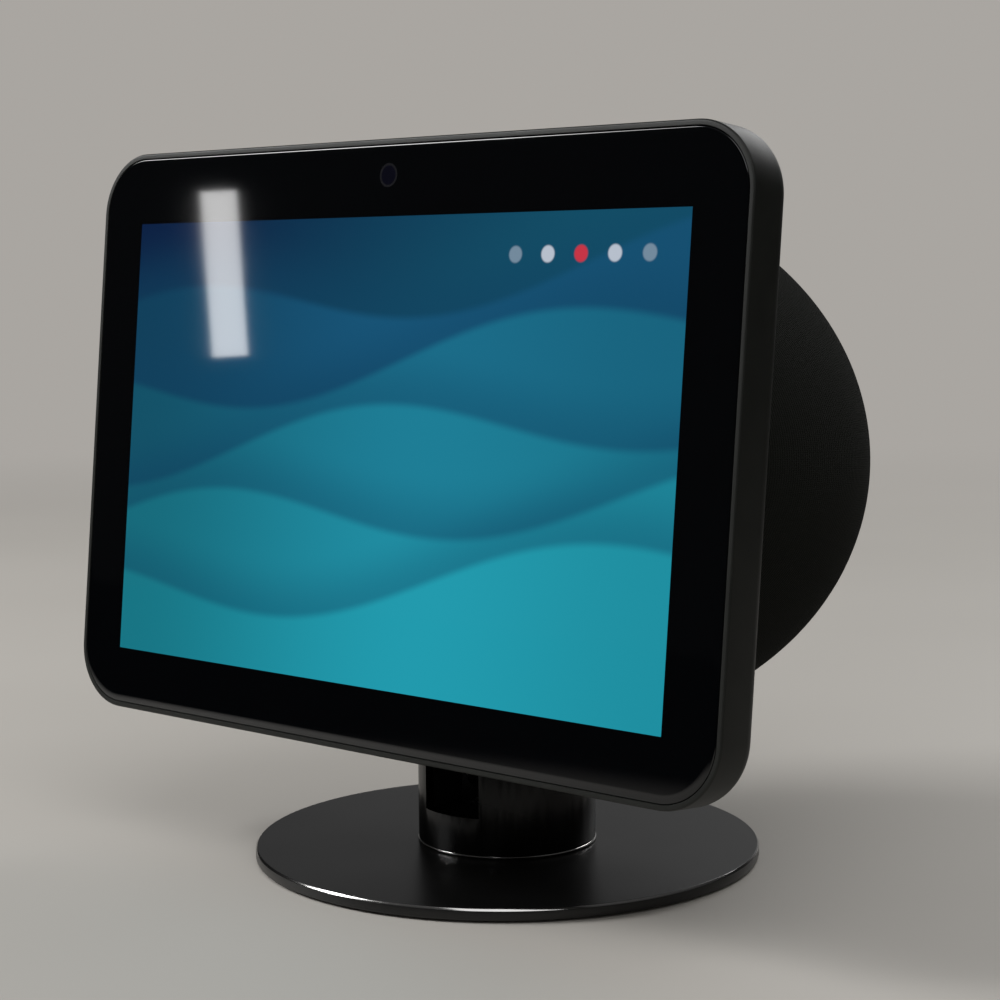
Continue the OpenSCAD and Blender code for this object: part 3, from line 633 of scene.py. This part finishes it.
# ---- keys and camera cover ----------------------------------------------------------------------------
# Three soft-edged caps and a ribbed thumb slide, moulded in the same plastic a shade darker.
key_black = moulded_finish("key_moulding", (0.009, 0.009, 0.009), 0.3)
KEY_PROUD, KEY_EDGE, KEY_FOOT = 0.6 * MM, 0.35 * MM, TOP - 3 * MM
for node in KEY_NODES:
    place = top_place(key_middle(node))
    cap = lozenge_prism(node + "_cap", KEY_L, KEY_W, KEY_FOOT, TOP + KEY_PROUD, place, key_black, KEY_EDGE)
    weld(cap)
    crease_shading(cap, 40)
    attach(cap, node)
    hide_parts(node)

RIBS = 5
rib_x = np.linspace(-SHUTTER_HALF, SHUTTER_HALF, RIBS * 8 + 1)
rib_height = TOP + KEY_PROUD - 0.12 * MM * (1 - np.cos(rib_x / SHUTTER_HALF * np.pi * RIBS))
thumb_front, thumb_back, thumb_foot = KEY_DEPTH - 1.0 * MM, KEY_DEPTH + 1.0 * MM, TOP - 3 * MM
thumb_rows = np.stack(
    [
        on_screen(shutter_x + rib_x, thumb_front, thumb_foot),
        on_screen(shutter_x + rib_x, thumb_front, rib_height),
        on_screen(shutter_x + rib_x, thumb_back, rib_height),
        on_screen(shutter_x + rib_x, thumb_back, thumb_foot),
    ],
    1,
)
thumb_faces = grid_faces(len(rib_x), 4)
thumb_ends = [[3, 2, 1, 0], [4 * (len(rib_x) - 1) + k for k in range(4)]]
thumb_slide = new_piece("thumb_slide", thumb_rows, thumb_faces.tolist() + thumb_ends, key_black)
weld(thumb_slide)
crease_shading(thumb_slide, 40)
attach(thumb_slide, "camera_shutter")
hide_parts("camera_shutter")


# ---- front glass --------------------------------------------------------------------------------------
# One sheet of hardened glass with a ground edge, printed black behind its border. The lit panel is bonded
# straight to its back, so its picture seems to lie in the surface.
ACTIVE_W = 170.3 * MM
ACTIVE_H = ACTIVE_W / 1.6
ACTIVE_DROP = 1.3 * MM


def math_node(tree, operation, first, second=None, third=None):
    """One arithmetic node; each operand is a number or another node's output."""
    node = add_node(tree, "ShaderNodeMath", operation=operation)
    for socket, value in zip(node.inputs, (first, second, third)):
        if value is None:
            continue
        if isinstance(value, (int, float)):
            socket.default_value = value
        else:
            tree.links.new(value, socket)
    return node.outputs[0]


def soft_step(tree, value, low, high):
    """0 below low, 1 above high and a smooth climb between."""
    spans = dict(i1=low, i2=high, i3=0.0, i4=1.0)
    node = add_node(tree, "ShaderNodeMapRange", interpolation_type="SMOOTHSTEP", **spans)
    tree.links.new(value, node.inputs[0])
    return node.outputs[0]


def colour_slope(tree, value, stops):
    """A colour that runs through the stops as the value goes from 0 to 1."""
    ramp = add_node(tree, "ShaderNodeValToRGB")
    ramp.color_ramp.interpolation = "EASE"
    while len(ramp.color_ramp.elements) < len(stops):
        ramp.color_ramp.elements.new(0.5)
    for element, (position, colour) in zip(ramp.color_ramp.elements, stops):
        element.position = position
        element.color = (*colour, 1)
    tree.links.new(value, ramp.inputs["Fac"])
    return ramp.outputs["Color"]


def mix_colour(tree, factor, below, above):
    """above laid over below where the factor is 1."""
    node = add_node(tree, "ShaderNodeMix", data_type="RGBA")
    for socket, value in zip((node.inputs[0], node.inputs[6], node.inputs[7]), (factor, below, above)):
        if isinstance(value, tuple):
            socket.default_value = (*value, 1)
        else:
            tree.links.new(value, socket)
    return node.outputs[2]


def wave_edge(tree, across, level, rise, swell, ripples, start):
    """A wave's crest height: level plus rise times across, plus swell times the sine of ripples whole turns
    that begin at start."""
    turn = math_node(tree, "MULTIPLY_ADD", across, 2 * math.pi * ripples, 2 * math.pi * start)
    slope = math_node(tree, "MULTIPLY_ADD", across, rise, level)
    return math_node(tree, "MULTIPLY_ADD", math_node(tree, "SINE", turn), swell, slope)


def screen_axes(tree, drop=0.0):
    """Across and upward positions on the screen in metres, from its middle lowered by drop."""
    where = add_node(tree, "ShaderNodeTexCoord")
    mapping = add_node(tree, "ShaderNodeMapping", vector_type="TEXTURE")
    mapping.inputs["Location"].default_value = tuple(screen_middle - up_way * drop)
    mapping.inputs["Rotation"].default_value = (-LEAN, 0, 0)
    split = add_node(tree, "ShaderNodeSeparateXYZ")
    tree.links.new(where.outputs["Object"], mapping.inputs["Vector"])
    tree.links.new(mapping.outputs["Vector"], split.inputs[0])
    return split.outputs["X"], split.outputs["Z"]


def round_spot(tree, x, z, at_x, at_z, radius, soft=0.3 * MM):
    """1 inside a circle on the screen and 0 outside it."""
    aside, above = math_node(tree, "SUBTRACT", x, at_x), math_node(tree, "SUBTRACT", z, at_z)
    aside_square = math_node(tree, "MULTIPLY", aside, aside)
    squares = math_node(tree, "ADD", aside_square, math_node(tree, "MULTIPLY", above, above))
    return soft_step(tree, math_node(tree, "SUBTRACT", radius, math_node(tree, "SQRT", squares)), -soft, soft)


# Five like waves, evenly stepped down the picture: each is lower, brighter and greener than the one behind
# it, and its sine starts a little further on.
WAVE_COUNT = 5
WAVE_TOP, WAVE_DROP, WAVE_RISE, WAVE_SWELL = 0.92, 0.78, 0.16, 0.07
WAVE_START, WAVE_SHIFT = 0.15, 0.31
WAVE_CAST_REACH, WAVE_CAST, WAVE_EDGE = 0.14, 0.35, 0.012
MARK_R, MARK_PITCH, MARK_MARGIN = 1.8 * MM, 9 * MM, (10 * MM, 9 * MM)
WAVE_NAVY, WAVE_TEAL = np.array((0.006, 0.032, 0.130)), np.array((0.015, 0.320, 0.415))


def wave_picture(tree):
    """Soft blue waves, each lying in front of the one before it, with a few plain status marks."""
    x, z = screen_axes(tree, ACTIVE_DROP)
    across = math_node(tree, "MULTIPLY_ADD", x, 1 / ACTIVE_W, 0.5)
    upward = math_node(tree, "MULTIPLY_ADD", z, 1 / ACTIVE_H, 0.5)
    sky = [(0.0, tuple(WAVE_NAVY * 0.4)), (1.0, tuple(WAVE_NAVY * 0.4 + WAVE_TEAL * 0.2))]
    haze = math_node(tree, "MULTIPLY", math_node(tree, "SUBTRACT", 1.0, upward), 0.75)
    picture = mix_colour(tree, haze, colour_slope(tree, across, sky), (0.010, 0.125, 0.215))
    for wave in range(WAVE_COUNT):
        step = (wave + 1) / WAVE_COUNT
        level, start = WAVE_TOP - WAVE_DROP * step, WAVE_START + WAVE_SHIFT * wave
        crest = wave_edge(tree, across, level, WAVE_RISE, WAVE_SWELL, 1.0, start)
        below = math_node(tree, "SUBTRACT", crest, upward)
        cast = math_node(tree, "MULTIPLY", soft_step(tree, below, -WAVE_CAST_REACH, 0.0), WAVE_CAST)
        picture = mix_colour(tree, cast, picture, (0.004, 0.050, 0.110))
        shore = WAVE_NAVY + (WAVE_TEAL - WAVE_NAVY) * step
        colours = [(0.0, tuple(shore * 0.55)), (0.6, tuple(shore)), (1.0, tuple(shore * 0.85))]
        body = colour_slope(tree, across, colours)
        picture = mix_colour(tree, soft_step(tree, below, -WAVE_EDGE, WAVE_EDGE), picture, body)
    mark_white, mark_grey, mark_red = (0.47, 0.52, 0.60), (0.17, 0.25, 0.33), (0.56, 0.035, 0.06)
    for place, colour in enumerate((mark_grey, mark_white, mark_red, mark_white, mark_grey)):
        mark_x = ACTIVE_W / 2 - MARK_MARGIN[0] - MARK_PITCH * place
        spot = round_spot(tree, x, z, mark_x, ACTIVE_H / 2 - MARK_MARGIN[1], MARK_R)
        picture = mix_colour(tree, spot, picture, colour)
    in_width = math_node(tree, "LESS_THAN", math_node(tree, "ABSOLUTE", x), ACTIVE_W / 2)
    in_height = math_node(tree, "LESS_THAN", math_node(tree, "ABSOLUTE", z), ACTIVE_H / 2)
    return mix_colour(tree, math_node(tree, "MULTIPLY", in_width, in_height), (0.0, 0.0, 0.0), picture)


CAMERA_WINDOW_R = 2.7 * MM
lens_low, lens_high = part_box("camera_lens")
lens_middle = (np.array(lens_low) + np.array(lens_high)) / 2 - screen_middle


def glass_finish():
    """Black-printed glass under a clear polished face, lit from behind by the picture. Over the camera's lens
    the print carries a lighter ring, which is a painted highlight, round a dark violet spot for the lens."""
    # ring is a painted highlight round the camera window; lens is the lens's own dark violet
    black, ring, lens = (0.0012, 0.0014, 0.0018), (0.011, 0.011, 0.013), (0.003, 0.003, 0.007)
    finish, tree, shader = new_finish("front_glass", black, 0.03, ior=1.5)
    vary_roughness(tree, shader, object_noise(tree, 25, 4), 0.015, 0.05)
    x, z = screen_axes(tree)
    at_x, at_z = float(lens_middle[0]), float(lens_middle @ up_way)
    window = round_spot(tree, x, z, at_x, at_z, CAMERA_WINDOW_R, 0.1 * MM)
    pupil = round_spot(tree, x, z, at_x, at_z, CAMERA_WINDOW_R - 0.5 * MM, 0.1 * MM)
    print_and_painted_highlight = mix_colour(tree, pupil, mix_colour(tree, window, black, ring), lens)
    tree.links.new(print_and_painted_highlight, shader.inputs["Base Color"])
    shader.inputs["Emission Strength"].default_value = 1.0
    tree.links.new(wave_picture(tree), shader.inputs["Emission Color"])
    return finish


GLASS_INSET = RIM_W + 0.1 * MM
GROUND_EDGE = 0.35 * MM
glass_profile = [(GLASS_INSET + MM, GLASS_T), (GLASS_INSET, GLASS_T)]
glass_profile += arc(GLASS_INSET + GROUND_EDGE, GROUND_EDGE, GROUND_EDGE, 0, -90, 6)
glass_profile.append((GLASS_INSET + 2 * MM, 0.0))
front_glass = swept_slab("front_glass", glass_profile, glass_finish(), closed=False)
weld(front_glass)
crease_shading(front_glass, 40)
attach(front_glass, "head")
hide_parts("cover_glass")



# ---- speaker body -------------------------------------------------------------------------------------
# The deep rounded body behind the slab: a moulded shell under one stretched, fine black knit, which is
# tucked into the slab's rear opening. The tilt arm and the power inlet come through cut openings.
BODY_DEPTH, BODY_START, BODY_POWER = 92.8 * MM, 10.5 * MM, 4.35
KNIT_T = 0.9 * MM
dense_turn = np.linspace(0, np.pi / 2, 4001)


def body_profile(turn, inset=0.0):
    """How far the body's outline has shrunk, and its depth: depth goes as sin(turn) and the outline as the
    superellipse (1 - sin(turn)^p)^(1/p)."""
    rise = np.clip(np.sin(turn), 0, 1)
    return np.clip(1 - rise**BODY_POWER, 0, 1) ** (1 / BODY_POWER), BODY_START + (BODY_DEPTH - inset) * rise


dense_shrink, dense_depth = body_profile(dense_turn)
dense_step = np.hypot(np.diff(dense_shrink) * (BODY_A + BODY_B) / 2, np.diff(dense_depth))
dense_run = np.concatenate([[0], np.cumsum(dense_step)])


def body_rows(count, inset, around):
    """Rings of the body from its rim to its tip, evenly spaced along the profile."""
    turn = np.interp(np.linspace(0, dense_run[-1], count), dense_run, dense_turn)
    turn[-1] = np.pi / 2
    shrink, depth = body_profile(turn[:, None], inset)
    shrink[-1] = 0
    x, z = (BODY_A - inset) * shrink * np.cos(around), (BODY_B - inset) * shrink * np.sin(around)
    return on_screen(x, depth + 0 * x, z)


def knit_finish():
    """Tight black knit: rows of small V-shaped loops, with slightly uneven yarn and a soft sheen, and painted
    shade that darkens its colour down in the hollows between loops.
    """
    finish, tree, shader = new_finish("black_knit", (0.005, 0.0055, 0.0045), 1.0)
    shader.inputs["Sheen Weight"].default_value = 0.01
    shader.inputs["Sheen Roughness"].default_value = 0.5
    shader.inputs["Specular IOR Level"].default_value = 0.08
    layer = add_node(tree, "ShaderNodeUVMap", uv_map="knit")
    split = add_node(tree, "ShaderNodeSeparateXYZ")
    tree.links.new(layer.outputs[0], split.inputs[0])
    wale = math_node(tree, "MULTIPLY", split.outputs["X"], 1 / (0.9 * MM))
    course = math_node(tree, "MULTIPLY", split.outputs["Y"], 1 / (0.7 * MM))
    swing = math_node(tree, "PINGPONG", wale, 0.5)
    turns = math_node(tree, "MULTIPLY", math_node(tree, "ADD", course, swing), 2 * math.pi)
    loops = math_node(tree, "SINE", turns)
    ribs = math_node(tree, "ABSOLUTE", math_node(tree, "SINE", math_node(tree, "MULTIPLY", wale, math.pi)))
    fuzz = object_noise(tree, 2400, 3)
    height = math_node(tree, "MULTIPLY_ADD", loops, 0.28, math_node(tree, "MULTIPLY_ADD", fuzz, 0.3, ribs))
    # the colour follows the knit's relief: painted shade in the hollows between loops and wales, plus uneven
    # yarn from the fuzz noise
    vary_colour(tree, shader, height, (0.0020, 0.0026, 0.0018), (0.0085, 0.0094, 0.0076), 0.25, 1.25)
    raise_bumps(tree, shader, height, 0.7, 0.0002)
    return finish


def lay_knit(piece):
    """Unrolls the body onto its knit: distance from the tip along the profile, and angle round it."""
    mesh = piece.data
    points = np.empty(len(mesh.vertices) * 3)
    mesh.vertices.foreach_get("co", points)
    offset = points.reshape(-1, 3) - screen_middle
    rise = np.clip((offset @ depth_way - BODY_START) / BODY_DEPTH, 0, 1)
    run = dense_run[-1] - np.interp(np.arcsin(rise), dense_turn, dense_run)
    angle = np.arctan2(offset @ up_way / BODY_B, offset[:, 0] / BODY_A)
    flat = np.stack([run * np.cos(angle), run * np.sin(angle)], -1)
    corners = np.empty(len(mesh.loops), np.int32)
    mesh.loops.foreach_get("vertex_index", corners)
    layer = mesh.uv_layers.get("knit") or mesh.uv_layers.new(name="knit")
    layer.data.foreach_set("uv", flat[corners].astype(np.float32).ravel())


ROUND_BODY = 192
around_body = np.linspace(0, 2 * np.pi, ROUND_BODY, endpoint=False)
outer_rows, inner_rows = body_rows(80, 0.0, around_body), body_rows(36, KNIT_T, around_body)
knit_rows = np.concatenate([outer_rows[::-1], inner_rows])
knit_cover = new_piece("knit_cover", knit_rows, grid_faces(len(knit_rows), ROUND_BODY), knit_finish())
weld(knit_cover)

pin_low, pin_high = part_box("hinge_pin")
pivot = (np.array(pin_low) + np.array(pin_high)) / 2 - screen_middle
pivot_depth = float(pivot @ depth_way)
ARM_W = 15.6 * MM
NECK_X, NECK_Y, NECK_CORNER = ARM_W / 2 + MM, 7 * MM, 1.5 * MM
neck_outline = rounded_outline(2 * NECK_X, 2 * NECK_Y, NECK_CORNER, 6)
neck_rows = [
    on_screen(keep * neck_outline[0], pivot_depth + keep * neck_outline[1], height)
    for keep, height in ((0, -72 * MM), (1, -72 * MM), (1, -58 * MM), (0, -58 * MM))
]
neck_cutter = new_piece("cutter", neck_rows, grid_faces(4, 24), charcoal)
inlet_low, inlet_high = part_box("power_inlet")
inlet_height = float(((np.array(inlet_low) + np.array(inlet_high)) / 2 - screen_middle) @ up_way)
INLET_L, INLET_W = 10 * MM, 4.2 * MM


def inlet_place(x, y, depth):
    """The inlet's opening looks straight back, level with the inlet."""
    return on_screen(x, depth, inlet_height + y)


inlet_cutter = lozenge_prism("cutter", INLET_L, INLET_W, 60 * MM, 120 * MM, inlet_place, charcoal)
cut_out(knit_cover, [neck_cutter, inlet_cutter])
lay_knit(knit_cover)
crease_shading(knit_cover, 50)
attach(knit_cover, "head")
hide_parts("fabric_cover")


# ---- tilt bracket and hinge ---------------------------------------------------------------------------
# A cast arm, painted black, that hangs from the head and turns on a steel pin in the post's slot, held at
# any angle by spring washers.
arm_black = satin_black_finish("cast_arm_paint", 0.004, 0.35, 0.5)
tilt_arm = softened_copy("tilt_bracket", "tilt_arm", arm_black, 0.25 * MM)
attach(tilt_arm, "head")
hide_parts("tilt_bracket")


def dress(finish, *nodes):
    """Gives carried parts their finish."""
    for node in nodes:
        for holder in frame["nodes"][node].material_slots:
            holder.material = finish


def bare_metal_finish(name, colour, low, high, grain=(1, 1, 1), cycles=400):
    """Bare metal with a grain that is stretched along one way, as brushing, rolling or turning leaves."""
    finish, tree, shader = new_finish(name, colour, low, metallic=1.0)
    marks = object_noise(tree, cycles, 4, grain)
    vary_colour(tree, shader, marks, tuple(c * 0.86 for c in colour), tuple(min(c * 1.08, 1) for c in colour))
    vary_roughness(tree, shader, marks, low, high)
    raise_bumps(tree, shader, marks, 0.15, 0.00002)
    return finish


plated = bare_metal_finish("plated_steel", (0.58, 0.57, 0.55), 0.2, 0.34)
dress(plated, "spindle", "spindle_screws", "spindle_nut", "hinge_pin", "friction_washers", "bracket_screws")
dress(plated, "frame_screws", "shell_screws", "board_screws", "speaker_screws", "power_inlet")


# ---- post core and bearings ---------------------------------------------------------------------------
# A zinc die casting fills the sleeve and carries the pin. It turns on the disc over plastic bearings.
def cast_metal_finish(name, colour):
    """As-cast metal: dull, with the fine pebbled skin that the die leaves."""
    finish, tree, shader = new_finish(name, colour, 0.5, metallic=0.9)
    darker, lighter = tuple(c * 0.8 for c in colour), tuple(c * 1.15 for c in colour)
    vary_colour(tree, shader, object_noise(tree, 260, 5), darker, lighter)
    vary_roughness(tree, shader, object_noise(tree, 150, 3), 0.42, 0.6)
    raise_bumps(tree, shader, object_noise(tree, 1500, 3), 0.35, 0.00008)
    return finish


dress(satin_black_finish("core_paint", 0.004, 0.35, 0.5), "post_core")
bearing_plastic = moulded_finish("bearing_plastic", (0.52, 0.51, 0.47), 0.15)
dress(bearing_plastic, "slip_washer", "thrust_washer", "swivel_bush")


# ---- screen stack -------------------------------------------------------------------------------------
# Behind the glass: a foam gasket, the panel, its clear light guide, a pressed aluminium tray and the
# die-cast frame that ties the head together.
def foam_finish():
    """Closed-cell black foam with fine open pores at its cut faces, each pore darkened with painted shade."""
    finish, tree, shader = new_finish("gasket_foam", (0.018, 0.018, 0.019), 0.9)
    cells = add_node(tree, "ShaderNodeTexVoronoi")
    cells.inputs["Scale"].default_value = 2500
    where = add_node(tree, "ShaderNodeTexCoord")
    tree.links.new(where.outputs["Object"], cells.inputs["Vector"])
    # the cell centres, the pores, are painted darker: painted shade inside the pores
    vary_colour(tree, shader, cells.outputs["Distance"], (0.010,) * 3, (0.028, 0.028, 0.030), 0.0, 0.5)
    raise_bumps(tree, shader, cells.outputs["Distance"], 0.5, 0.0001)
    return finish


def panel_finish():
    """The panel's own face: the same picture under a matte polariser."""
    finish, tree, shader = new_finish("panel_face", (0.006, 0.006, 0.008), 0.35)
    vary_roughness(tree, shader, object_noise(tree, 900, 2), 0.3, 0.4)
    shader.inputs["Emission Strength"].default_value = 1.0
    tree.links.new(wave_picture(tree), shader.inputs["Emission Color"])
    return finish


def acrylic_finish():
    """Clear acrylic plate with faint printed light-spreading dots."""
    finish, tree, shader = new_finish("light_guide_acrylic", (0.78, 0.82, 0.82), 0.08, ior=1.49)
    dots = add_node(tree, "ShaderNodeTexVoronoi")
    dots.inputs["Scale"].default_value = 1200
    dots.inputs["Randomness"].default_value = 0.0
    where = add_node(tree, "ShaderNodeTexCoord")
    tree.links.new(where.outputs["Object"], dots.inputs["Vector"])
    vary_colour(tree, shader, dots.outputs["Distance"], (0.93, 0.95, 0.95), (0.74, 0.79, 0.80), 0.15, 0.3)
    return finish


dress(foam_finish(), "glass_gasket")
dress(panel_finish(), "lcd_panel")
dress(acrylic_finish(), "light_guide")
tray_aluminium = bare_metal_finish("tray_aluminium", (0.76, 0.77, 0.78), 0.28, 0.42, (0.04, 1, 1), 900)
dress(tray_aluminium, "backlight_tray")
dress(cast_metal_finish("frame_casting", (0.33, 0.34, 0.35)), "mid_frame")


# ---- speaker shell and drivers ------------------------------------------------------------------------
# The moulded shell under the knit, the closed box inside it, two side-firing drivers and a passive
# radiator, each with a basket, a soft cone and a plated magnet.
shell_black = moulded_finish("shell_moulding", (0.017, 0.017, 0.017))
dress(shell_black, "rear_shell", "speaker_box")
dress(moulded_finish("basket_moulding", (0.030, 0.030, 0.031), 0.25), "driver_frames")
dress(rubber_finish("cone_rubber", 0.020), "driver_cones", "passive_radiator")
dress(bare_metal_finish("magnet_plating", (0.42, 0.42, 0.43), 0.25, 0.38), "driver_magnets")


# ---- electronics --------------------------------------------------------------------------------------
# Glass-fibre boards with copper tracks under green lacquer, a tinned shield with a finned sink on it, and
# an amber film that joins the boards.
def board_finish(name, lacquer, track):
    """A circuit board: straight copper tracks in two directions under lacquer, with bare pads."""
    finish, tree, shader = new_finish(name, lacquer, 0.32)
    where = add_node(tree, "ShaderNodeTexCoord")
    tracks = []
    for stretch in ((1, 1, 0.06), (0.06, 1, 1)):
        mapping = add_node(tree, "ShaderNodeMapping")
        mapping.inputs["Scale"].default_value = stretch
        bricks = add_node(tree, "ShaderNodeTexVoronoi", distance="CHEBYCHEV")
        bricks.inputs["Scale"].default_value = 900
        tree.links.new(where.outputs["Object"], mapping.inputs["Vector"])
        tree.links.new(mapping.outputs["Vector"], bricks.inputs["Vector"])
        tracks.append(soft_step(tree, bricks.outputs["Distance"], 0.30, 0.36))
    copper = math_node(tree, "MAXIMUM", tracks[0], tracks[1])
    tree.links.new(mix_colour(tree, copper, track, lacquer), shader.inputs["Base Color"])
    raise_bumps(tree, shader, copper, 0.3, 0.00004)
    return finish


green_board = board_finish("board_lacquer", (0.010, 0.085, 0.035), (0.022, 0.150, 0.060))
dress(green_board, "main_board", "inlet_board", "mic_board", "button_board")
dress(green_board, "wireless_module", "antenna_boards")
dress(bare_metal_finish("tinned_shield", (0.66, 0.67, 0.68), 0.26, 0.40, (1, 1, 0.05), 700), "shield_can")
dress(bare_metal_finish("sink_aluminium", (0.70, 0.71, 0.72), 0.34, 0.48, (1, 0.05, 1), 600), "heat_sink")


def film_finish():
    """Amber polyimide film with fine copper lines along it."""
    finish, tree, shader = new_finish("amber_film", (0.50, 0.20, 0.035), 0.25)
    lines = object_noise(tree, 1500, 0, (1, 0.01, 0.01))
    vary_colour(tree, shader, lines, (0.34, 0.11, 0.020), (0.60, 0.26, 0.055), 0.45, 0.55)
    raise_bumps(tree, shader, lines, 0.2, 0.00002)
    return finish


dress(film_finish(), "display_flex")


# ---- camera, light sensor and key switches ------------------------------------------------------------
# Small moulded modules on the top edge: the lens barrel with its coated glass, the sensor and the domes
# under the keys.
def lens_finish():
    """Coated lens glass: almost black, with a faint violet bloom that shifts in patches."""
    finish, tree, shader = new_finish("coated_lens", (0.010, 0.008, 0.022), 0.04, ior=1.6)
    vary_colour(tree, shader, object_noise(tree, 600, 2), (0.006, 0.006, 0.014), (0.016, 0.008, 0.034))
    vary_roughness(tree, shader, object_noise(tree, 300, 2), 0.02, 0.07)
    return finish


dress(lens_finish(), "camera_lens")
dress(moulded_finish("module_moulding", (0.012, 0.012, 0.013), 0.2), "camera_module", "light_sensor")
dress(bare_metal_finish("switch_domes", (0.62, 0.60, 0.54), 0.24, 0.36), "button_switches")
